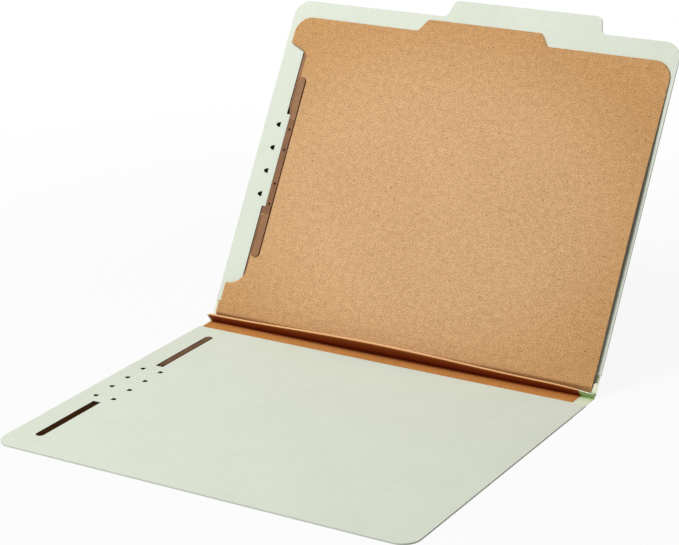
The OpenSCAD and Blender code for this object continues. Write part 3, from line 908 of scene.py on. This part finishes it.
def top_edge(scene, x):
    """Height of the divider's upper edge at x: level, rounded at both corners, with the tab."""
    d = scene.folder_divider
    left, right, _, top = divider_outline(scene)
    middle = (left + right) / 2 + d.tab_shift
    side = d.tab_width / 2
    tab = np.minimum(eased_step(x, middle - side, d.tab_slant, d.tab_height, d.tab_round),
                     eased_step(-x, -middle - side, d.tab_slant, d.tab_height, d.tab_round))
    corner = (arc_fill(np.minimum(x, left + d.corner), left + d.corner, d.corner, False)
              + arc_fill(np.maximum(x, right - d.corner), right - d.corner, d.corner, False))
    begin = left + d.notch + d.recess
    fall = d.top_fall * np.clip((x - begin) / (right - begin), 0, 1)
    return top + tab + corner - fall


def divider_bow(scene, x, v):
    """How far the sheet leaves its plane: its top leans to the cover and its middle swells."""
    d = scene.folder_divider
    _, _, low, top = divider_outline(scene)
    free = smooth((x - FREE_FROM) / FREE_FADE)
    begin = LEAN_HELD + (LEAN_FREE - LEAN_HELD) * free
    lean = smooth((v - begin) / (top + d.tab_height - begin)) * d.top_lean
    swell = SWELL * free * np.sin(np.pi * np.clip((v - low) / (top - low), 0, 1)) ** 2
    return swell - lean


def divider_patch(scene, x, low, high, rows):
    """A patch of the sheet: at each x, rows of points between a lower and an upper edge."""
    v = low[:, None] + (high - low)[:, None] * rows[None, :]
    x = np.broadcast_to(x[:, None], v.shape)
    n = scene.folder_divider.lift + divider_bow(scene, x, v)
    return on_back(scene, x, v, n), np.stack([x, v], -1)


def columns(first, last, step):
    """Rising places from the first to the last, no further apart than step."""
    return np.linspace(first, last, max(2, int(math.ceil((last - first) / step)) + 1))


def in_order(*runs):
    """All the places of several runs, rising, with doubles left out."""
    return np.unique(np.round(np.concatenate(runs), COLUMN_DECIMALS))


def corner_columns(edge, radius, side, count=14):
    """Places across a rounded corner, close together where its curve is steep."""
    t = np.linspace(0, math.pi / 2, count)
    return edge + side * radius * (1 - np.cos(t))


def kraft_rim(scene):
    """The paler cut edge of the kraft sheet."""
    d = scene.folder_divider
    return kraft("cut kraft edge", [min(1, 1.15 * c) for c in d.pale], d.pale, d.deep)


class FOLDER_OT_divider(bpy.types.Operator):
    """Bows the kraft divider from five patches, and bends its foot back into the last valley"""
    bl_idname = "folder.divider"
    bl_label = "Divider"

    def execute(self, context):
        scene = context.scene
        d = scene.folder_divider
        left, right, low, top = divider_outline(scene)
        # Middle and half sizes of the painted shade that darkens the sheet towards its edges
        lit_middle = ((left + right) / 2 - LIT_SHIFT, LIT_HEIGHT * top)
        edge_shade = (d.edge_shade, lit_middle, ((right - left) / 2, top / 2))
        material = kraft("tan kraft", d.pale, d.deep, d.speck, warp=0.35, edge_shade=edge_shade)
        edge = left + d.notch
        inner = edge + d.recess
        middle = (left + right) / 2 + d.tab_shift
        ear_low = low + EAR_LIFT + d.lower_ear
        ear_high = top - d.upper_ear - d.ear_slant - d.upper_round * NOTCH_SHARE
        upper_edge = edge + d.notch_lean
        strip_low = strip_place(scene)[1] - d.recess_low
        strip_high = strip_place(scene)[1] + d.recess_high
        rows_low = np.linspace(0, 1, 19) ** EAR_POWER
        rows_high = np.linspace(0, 1, 15)
        below = np.concatenate([low + (ear_low + d.lower_round - low) * rows_low[:-1],
                                np.linspace(ear_low + d.lower_round, strip_low, 18)])
        above = np.concatenate([np.linspace(strip_high, ear_high, 12)[:-1],
                                ear_high + (top - ear_high) * rows_high])
        beside = np.linspace(strip_low, strip_high, 35)[1:-1]
        rows = (np.concatenate([below, beside, above]) - low) / (top - low)
        outside = d.tab_width / 2 + TAB_MARGIN
        within = d.tab_width / 2 - d.tab_slant - d.tab_round
        x_main = in_order(
            columns(inner, middle - outside, PLAIN_STEP),
            columns(middle - outside, middle - within, CURVE_STEP),
            columns(middle - within, middle + within, PLAIN_STEP),
            columns(middle + within, middle + outside, CURVE_STEP),
            columns(middle + outside, right - d.corner, PLAIN_STEP),
            corner_columns(right, d.corner, -1))
        patches = [divider_patch(scene, x_main, np.full(x_main.shape, low),
                                 top_edge(scene, x_main), rows)]
        for run, side_edge in ((below, edge), (above, upper_edge)):
            patches.append(divider_patch(scene, np.array([side_edge, inner]), np.full(2, run[0]),
                                         np.full(2, run[-1]), (run - run[0]) / (run[-1] - run[0])))
        x_low = in_order(
            columns(left, edge - d.lower_round, LOW_EAR_STEP),
            edge - d.lower_round * (1 - np.sin(np.linspace(0, math.pi / 2, 16))))
        ear_top = ear_low + arc_fill(np.maximum(x_low, edge - d.lower_round),
                                     edge - d.lower_round, d.lower_round, True)
        patches.append(divider_patch(scene, x_low, np.full(x_low.shape, low), ear_top, rows_low))
        x_high = in_order(corner_columns(left, d.corner, 1),
                          columns(left + d.corner, upper_edge, HIGH_EAR_STEP))
        slope = top - d.upper_ear - d.ear_slant * (x_high - left) / d.notch
        notch_curve = (slope[-1] - ear_high) * np.clip(
            (x_high - upper_edge + d.upper_round) / d.upper_round, 0, 1) ** NOTCH_POWER
        patches.append(divider_patch(scene, x_high, slope - notch_curve,
                                     top_edge(scene, x_high), rows_high))
        made = piece("divider_sheet", *joined(patches), material)
        made.data.materials.append(kraft_rim(scene))
        wall = made.modifiers.new("paper", "SOLIDIFY")
        wall.thickness = d.thickness
        wall.offset = 0
        wall.material_offset_rim = 1
        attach(made, "divider")
        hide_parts("divider_panel")
        self.foot(scene, material)
        return {"FINISHED"}

    def foot(self, scene, material):
        """The foot: the sheet runs straight on and bends back into the last valley.

        Below the bend it falls at an even slope to the panel, with a soft corner: the slope
        times the logarithm of one plus the exponential of the distance below the bend.
        """
        d, g, covers = scene.folder_divider, scene.folder_gusset, scene.folder_covers
        start, turn, _ = zigzag(scene)[0][4]
        slope = (d.lift - g.stack - d.foot_gap) / (d.foot_turn - d.foot_end)
        straight = d.foot_turn + EASE_REACH * d.foot_ease
        v = np.concatenate([np.linspace(d.foot_end, straight, 41)[:-1],
                            np.linspace(straight, g.panel + d.score, 15)])
        n = d.lift - slope * d.foot_ease * np.log1p(np.exp((d.foot_turn - v) / d.foot_ease))
        slope_v, slope_n = np.gradient(v), np.gradient(n)
        norm = np.hypot(slope_v, slope_n)
        walked = np.concatenate([[0], np.cumsum(np.hypot(np.diff(v), np.diff(n)))])
        half = covers.width / 2
        x = np.linspace(d.foot_left - half, half - d.foot_right, 73)[:, None]
        layers = []
        for offset in (d.thickness / 2, -d.thickness / 2):
            layers.append(on_sheet(start, turn, x, (v - offset * slope_n / norm)[None, :],
                                   (n + offset * slope_v / norm)[None, :]))
        points, faces = slab(*layers)
        flat = slab_uv(x, d.score + walked[None, :] - walked[-1])
        made = piece("divider_foot_strip", points, faces, flat, material)
        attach(made, "gusset_4")
        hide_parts("divider_foot")


# Fasteners

# Rows of faces along the left and the right of a strip that its painted edge shade covers
EDGE_ROWS = (2, 3)
# A prong's shoulder begins and ends this far before and after the end of its neck
SHOULDER_BEFORE, SHOULDER_AFTER = 0.4 * MM, 1.2 * MM
# The power of the roll at a strip's edges, and the share of its crown that the under face follows
ROLL_POWER, UNDER_SHARE = 2.2, 0.3
# The least share of the gap at a prong's root, and the height at which prongs lie in a slot
ROOT_SHARE = 0.25
IN_SLOT = 0.68 * MM
# Clear space between metal pieces, and the length over which the front strip grows wider
CLEAR = 0.03 * MM
STRIP_STEP = 0.5 * MM
# Radius of a rivet's barrel and height of its rolled head
BARREL, ROLL = 0.9 * MM, 0.16 * MM


def strip_place(scene):
    """Where the middle of the divider's fasteners lies, as x and as a height up the cover."""
    f, d, covers = scene.folder_fasteners, scene.folder_divider, scene.folder_covers
    x = d.left - covers.width / 2 + d.notch + d.recess - f.overhang + f.strip_width / 2
    middle = scene.folder_gusset.hinge_gap + covers.depth / 2 - f.back_shift - f.strip_shift
    return x, middle


def prong_shape(size, width, neck, neck_length):
    """A prong's plan: distance from its root, width, and the share of it left at a round tip."""
    tip = size - width / 2
    shoulder = np.linspace(neck_length - SHOULDER_BEFORE, neck_length + SHOULDER_AFTER, 9)
    s = np.concatenate([np.linspace(0, shoulder[0] - 0.1 * MM, 6), shoulder,
                        np.linspace(shoulder[-1] + 1 * MM, tip, 22),
                        tip + width / 2 * np.sin(np.linspace(0, math.pi / 2, 14)[1:])])
    grown = neck + (width - neck) * smooth((s - shoulder[0]) / (shoulder[-1] - shoulder[0]))
    round_off = np.sqrt(np.clip(1 - (np.maximum(s - tip, 0) / (width / 2)) ** 2, 0, 1))
    return s, grown, round_off


def pressed_strip(scene, name, place, x, v, half, low, up, material, edge=None):
    """A strip of sheet metal: half widths at each v, its edges rolled down from a low crown.

    Edge is a second finish, a painted shade for the sides and for the rolled edges beside them.
    """
    f = scene.folder_fasteners
    x = np.broadcast_to(x, v.shape)[:, None]
    w = np.sin(np.linspace(-math.pi / 2, math.pi / 2, 15))[None, :]
    rolled = f.crown * np.abs(w) ** ROLL_POWER * (half / half.max())[:, None]
    outer = low + f.metal if up > 0 else low
    inner = low if up > 0 else low + f.metal
    across = x + half[:, None] * w
    high = place(scene, across, v[:, None] + 0 * w, outer - up * rolled)
    hollow = UNDER_SHARE * up * (f.crown - rolled)
    under = place(scene, across, v[:, None] + 0 * w, inner + hollow)
    points, faces = slab(high, under)
    rows, cols = len(v) - 1, w.shape[1] - 1
    shaded_rows = np.zeros((rows, cols))
    shaded_rows[:, :EDGE_ROWS[0]] = 1
    shaded_rows[:, cols - EDGE_ROWS[1]:] = 1
    marks = np.concatenate([shaded_rows.ravel(), np.zeros(rows * cols), np.ones(2 * (rows + cols))])
    made = piece(name, points, faces, slab_uv(v[:, None], half[:, None] * w), material, 50,
                 None if edge is None else marks)
    if edge is not None:
        made.data.materials.append(edge)
    return made


def prong(scene, name, place, x, middle, side, plan, low, up, material, edge=None, lean=0):
    """One prong, from just outside its turning axis to its round tip.

    Plan is its length, its width, its neck's width and its neck's length. With lean, what it
    is wider than its neck lies to the left, and its right side runs on straight from the strip.
    """
    f = scene.folder_fasteners
    neck = plan[2]
    s, grown, round_off = prong_shape(*plan)
    root = f.root_gap * np.clip(s / f.neck_length, ROOT_SHARE, 1)
    v = middle + side * (f.pitch / 2 + root + s)
    x = x - lean * (grown - neck) / 2
    made = pressed_strip(scene, name + "_leaf", place, x, v, grown / 2 * round_off, low, up,
                         material, edge)
    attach(made, name)
    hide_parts(name)


class FOLDER_OT_prongs(bpy.types.Operator):
    """Rolls the eight coated steel prongs of the covers and the divider"""
    bl_idname = "folder.prongs"
    bl_label = "Prongs"

    def execute(self, context):
        scene = context.scene
        f, covers, d = scene.folder_fasteners, scene.folder_covers, scene.folder_divider
        bright = coated_metal("satin brown coat", f.brown, sheet_place)
        # Painted shade: darker copies of the brown coat, and near-black ones for slots and edges
        wear_and_shade = coated_metal("rubbed brown coat", f.wear_and_painted_light, sheet_place, specular=0.0)
        shaded = coated_metal("dark brown coat", f.shaded, sheet_place, gloss=0.5, specular=0.0)
        slot_x = f.inset - covers.width / 2
        front_middle = covers.depth / 2 - f.front_shift
        strip_x, strip_middle = strip_place(scene)
        back_middle = strip_middle + f.strip_shift
        cover_plan = (f.cover_prong, f.cover_width, f.neck, f.neck_length)
        over = d.lift + d.thickness / 2 + CLEAR
        under = d.lift - d.thickness / 2 - CLEAR - f.metal
        for side, word, shoulder in ((-1, "spine", f.low_neck), (1, "edge", f.high_neck)):
            leaf_plan = (f.leaf, f.strip_width + f.leaf_extra, f.strip_width, shoulder)
            # The front cover's prongs get painted shade coats, with near-black painted shade at their
            # edges
            prong(scene, f"front_{word}_prong", on_front, slot_x, front_middle, side,
                  cover_plan, IN_SLOT, 1, wear_and_shade if side < 0 else shaded, shaded)
            prong(scene, f"back_{word}_prong", on_back, slot_x, back_middle, side,
                  cover_plan, IN_SLOT, 1, bright)
            prong(scene, f"divider_front_{word}_prong", on_back, strip_x, strip_middle, side,
                  leaf_plan, over, 1, bright, shaded, 1)
            prong(scene, f"divider_rear_{word}_prong", on_back, strip_x, strip_middle, side,
                  leaf_plan, under, -1, bright, shaded, 1)
        return {"FINISHED"}


class FOLDER_OT_bases(bpy.types.Operator):
    """Finishes the base strips and plates, and turns the four tubular rivets"""
    bl_idname = "folder.bases"
    bl_label = "Bases and rivets"

    def execute(self, context):
        scene = context.scene
        f, d = scene.folder_fasteners, scene.folder_divider
        coat = coated_metal("brown strip coat", f.strip, sheet_place)
        # Painted shade along the strips' sides and rolled edges
        edge = coated_metal("dark strip edge", f.shaded, sheet_place, gloss=0.5, specular=0.0)
        # The base plates are real; their near-black coat is painted shade seen through the holes
        plate = coated_metal("dark plate coat", f.dark, object_place, gloss=0.7, wear_and_shade=0.1,
                             specular=0.0)
        for node in ("front_fastener_base", "back_fastener_base"):
            dress(node, plate)
        x, middle = strip_place(scene)
        v = middle + np.linspace(-1, 1, 161) * (f.pitch / 2 - CLEAR)
        wider = f.strip_extra / 2 * smooth((middle - f.strip_end - v) / STRIP_STEP)
        for word, low, up in (("front", d.lift + d.thickness / 2, 1),
                              ("rear", d.lift - d.thickness / 2 - f.metal, -1)):
            made = pressed_strip(scene, f"divider_{word}_strip", on_back, x - wider, v,
                                 f.strip_width / 2 + wider, low, up, coat, edge)
            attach(made, "divider")
            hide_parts(f"divider_{word}_base")
        self.rivets(scene, x, middle)
        return {"FINISHED"}

    def rivets(self, scene, x, middle):
        """Tubular rivets: a rolled head round a dark bore on each face, turned about their axes.

        The section runs from the axis across the bore's end, shut with a disc of painted shade, over a
        half-round head, down the barrel, over the other head and back to the axis; each of its points
        goes round a circle of its own radius.
        """
        f, d = scene.folder_fasteners, scene.folder_divider
        material = coated_metal("rolled rivet coat", f.strip, sheet_place, gloss=0.4)
        reach = d.thickness / 2 + f.metal
        bend = np.linspace(0, math.pi, 11)
        centre, swing = (f.head + f.bore) / 2, (f.head - f.bore) / 2
        shut = reach + CLEAR
        radius = np.concatenate([[0, f.bore], centre - swing * np.cos(bend), [BARREL, BARREL],
                                 centre + swing * np.cos(bend), [f.bore, 0]])
        rise = np.concatenate([[shut, shut], reach + ROLL * np.sin(bend), [reach, -reach],
                               -reach - ROLL * np.sin(bend), [-shut, -shut]])
        around = np.linspace(0, 2 * math.pi, 29)
        rings = []
        for v in (-f.rivet_outer, -f.rivet_inner, f.rivet_inner, f.rivet_outer):
            ring = on_back(scene, x + radius[:, None] * np.cos(around),
                           middle + v + radius[:, None] * np.sin(around),
                           d.lift + rise[:, None] + 0 * around)
            uv = np.stack(np.broadcast_arrays(MM * around, rise[:, None] + v), -1)
            rings.append((ring, uv))
        # The shut ends of the bores get a near-black painted shade
        bore_shade = np.zeros((len(radius) - 1, len(around) - 1))
        bore_shade[:2] = 1
        bore_shade[-2:] = 1
        made = piece("divider_rolled_rivets", *joined(rings), material, 60,
                     np.tile(bore_shade.ravel(), len(rings)))
        made.data.materials.append(coated_metal("dark bore", f.dark, sheet_place, gloss=0.8,
                                                wear_and_shade=0.0, specular=0.0))
        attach(made, "divider")
        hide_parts("divider_rivets")


# Covers

def dress(node, material):
    """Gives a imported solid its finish."""
    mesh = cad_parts[node].data
    if not mesh.materials:
        mesh.materials.append(material)
    for k in range(len(mesh.materials)):
        mesh.materials[k] = material


class FOLDER_OT_covers(bpy.types.Operator):
    """Finishes both pressboard covers"""
    bl_idname = "folder.covers"
    bl_label = "Covers"

    def execute(self, context):
        scene = context.scene
        settings, f = scene.folder_covers, scene.folder_fasteners
        slot_x = f.inset - settings.width / 2
        start, tilt, _ = zigzag(scene)[0][5]
        level = turned(start, -tilt)
        back_middle = level[0] + strip_place(scene)[1] + f.strip_shift
        flat = pressboard("pressboard front", settings, 0.0, 0.0,
                          (slot_x, f.front_shift - settings.depth / 2))
        leaning = pressboard("pressboard back", settings, tilt, float(level[1]),
                             (slot_x, float(back_middle)))
        dress("front_cover_outer", flat)
        dress("front_cover_inner", flat)
        dress("back_cover_outer", leaning)
        dress("back_cover_inner", leaning)
        return {"FINISHED"}


# Stage

# Rays that see the surroundings and the floor as plain white
WHITE_RAYS = ("Is Camera Ray", "Is Glossy Ray", "Is Transmission Ray")
# Half the floor's side, its depth under the folder, and its two greys
FLOOR_HALF, FLOOR_DROP = 6, 0.1 * MM
FLOOR_GREYS = ((0.60, 0.60, 0.60), (0.63, 0.63, 0.63))
# Distances from the folder over which the floor goes over to plain white
FLOOR_FADE = (0.25, 0.75)
# The lamp's width, its place and the point that it faces
LAMP_WIDTH = 1.1
LAMP_PLACE = (-0.66, -0.90, 1.72)
LAMP_AIM = (0.0, 0.0, 0.06)
# The camera's sensor in millimetres, and its nearest and furthest view
SENSOR = 36
VIEW_RANGE = (0.01, 50)


class FOLDER_OT_stage(bpy.types.Operator):
    """Lays the white floor and sets the lights and the camera"""
    bl_idname = "folder.stage"
    bl_label = "Stage"

    def execute(self, context):
        scene = context.scene
        self.floor(scene)
        self.lights(scene)
        self.camera(scene)
        scene.view_settings.view_transform = "Standard"
        return {"FINISHED"}

    def seen(self, wire):
        """1 for rays from the camera, from mirrors and through glass, else 0."""
        camera, mirror, glass = [wire.add("ShaderNodeLightPath", None, None, ray)
                                 for ray in WHITE_RAYS]
        return wire.maths("MAXIMUM", wire.maths("MAXIMUM", camera, mirror), glass)

    def floor(self, scene):
        """A wide level sheet just under the folder, with a faint grain."""
        side = np.linspace(-FLOOR_HALF, FLOOR_HALF, 13)
        x, y = np.meshgrid(side, side, indexing="ij")
        points = np.stack([x, y, 0 * x - FLOOR_DROP], -1).reshape(-1, 3)
        numbers = np.arange(points.shape[0]).reshape(x.shape)
        material, wire = new_material("studio floor")
        place = object_place(wire)
        grain = place.noise(3, 2)
        paper = wire.add("ShaderNodeBsdfPrincipled", None, {
            "Base Color": grain.mix(rgba(FLOOR_GREYS[0]), rgba(FLOOR_GREYS[1])),
            "Roughness": 0.9,
            "Specular IOR Level": 0.0,
        })
        white = wire.add("ShaderNodeEmission", None, {"Color": (1, 1, 1, 1), "Strength": 1.0})
        away = place.add("ShaderNodeVectorMath", {"operation": "LENGTH"}, {0: place}, "Value")
        lifted = scene.folder_stage.floor_white
        share_white = lifted + (1 - lifted) * away.between(*FLOOR_FADE)
        surface = wire.add("ShaderNodeMixShader", None, {
            0: self.seen(wire) * share_white, 1: paper, 2: white})
        wire.add("ShaderNodeOutputMaterial", None, {"Surface": surface})
        made = piece("floor", points, grid_faces(numbers), points[:, :2], material)

    def lights(self, scene):
        """Even white surroundings and one large soft lamp at the front left."""
        stage = scene.folder_stage
        world = bpy.data.worlds.new("studio")
        scene.world = world
        world.use_nodes = True
        world.node_tree.nodes.clear()
        wire = Wire(world.node_tree)
        strength = stage.sky + (1 - stage.sky) * self.seen(wire)
        light = wire.add("ShaderNodeBackground", None, {
            "Color": (1, 1, 1, 1), "Strength": strength})
        wire.add("ShaderNodeOutputWorld", None, {"Surface": light})
        lamp = bpy.data.lights.new("soft key", "AREA")
        lamp.shape = "DISK"
        lamp.size = LAMP_WIDTH
        lamp.energy = stage.key
        made = bpy.data.objects.new("soft key", lamp)
        made.location = LAMP_PLACE
        aim = Vector(LAMP_AIM) - made.location
        made.rotation_euler = aim.to_track_quat("-Z", "Y").to_euler()
        scene.collection.objects.link(made)

    def camera(self, scene):
        """A pin-hole camera turned by azimuth, elevation and roll round the folder's origin."""
        stage = scene.folder_stage
        a, e, r = stage.azimuth, stage.elevation, stage.roll
        back = Vector((math.sin(a) * math.cos(e), -math.cos(a) * math.cos(e), math.sin(e)))
        right = (-back).cross(Vector((0, 0, 1))).normalized()
        down = (-back).cross(right)
        right, down = (right * math.cos(r) + down * math.sin(r),
                       down * math.cos(r) - right * math.sin(r))
        lens = bpy.data.cameras.new("camera")
        lens.sensor_fit = "HORIZONTAL"
        lens.sensor_width = SENSOR
        lens.lens = SENSOR * stage.focal
        lens.clip_start, lens.clip_end = VIEW_RANGE
        made = bpy.data.objects.new("camera", lens)
        eye = stage.distance * back - stage.shift_x * right - stage.shift_y * down
        made.matrix_world = Matrix((
            (right.x, -down.x, back.x, eye.x),
            (right.y, -down.y, back.y, eye.y),
            (right.z, -down.z, back.z, eye.z),
            (0, 0, 0, 1)))
        scene.collection.objects.link(made)
        scene.camera = made


# Add-on

STEPS = [FOLDER_OT_stage, FOLDER_OT_covers, FOLDER_OT_gusset_cloth, FOLDER_OT_gusset_lining,
         FOLDER_OT_divider, FOLDER_OT_prongs, FOLDER_OT_bases]
SETTINGS = {
    "folder_covers": FolderCovers,
    "folder_gusset": FolderGusset,
    "folder_divider": FolderDivider,
    "folder_fasteners": FolderFasteners,
    "folder_stage": FolderStage,
}


class FOLDER_PT_panel(bpy.types.Panel):
    """Lists the folder's pieces in the sidebar"""
    bl_idname = "FOLDER_PT_panel"
    bl_label = "Classification Folder"
    bl_space_type = "VIEW_3D"
    bl_region_type = "UI"
    bl_category = "Folder"

    def draw(self, context):
        for step in STEPS:
            self.layout.operator(step.bl_idname)


def register():
    for group in SETTINGS.values():
        bpy.utils.register_class(group)
    for name, group in SETTINGS.items():
        setattr(bpy.types.Scene, name, bpy.props.PointerProperty(type=group))
    for cls in [*STEPS, FOLDER_PT_panel]:
        bpy.utils.register_class(cls)


def unregister():
    for cls in [FOLDER_PT_panel, *reversed(STEPS)]:
        bpy.utils.unregister_class(cls)
    for name, group in reversed(SETTINGS.items()):
        delattr(bpy.types.Scene, name)
        bpy.utils.unregister_class(group)


def main():
    """Registers the add-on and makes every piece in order."""
    register()
    for step in STEPS:
        family, name = step.bl_idname.split(".")
        getattr(getattr(bpy.ops, family), name)()


if __name__ == "__main__":
    main()
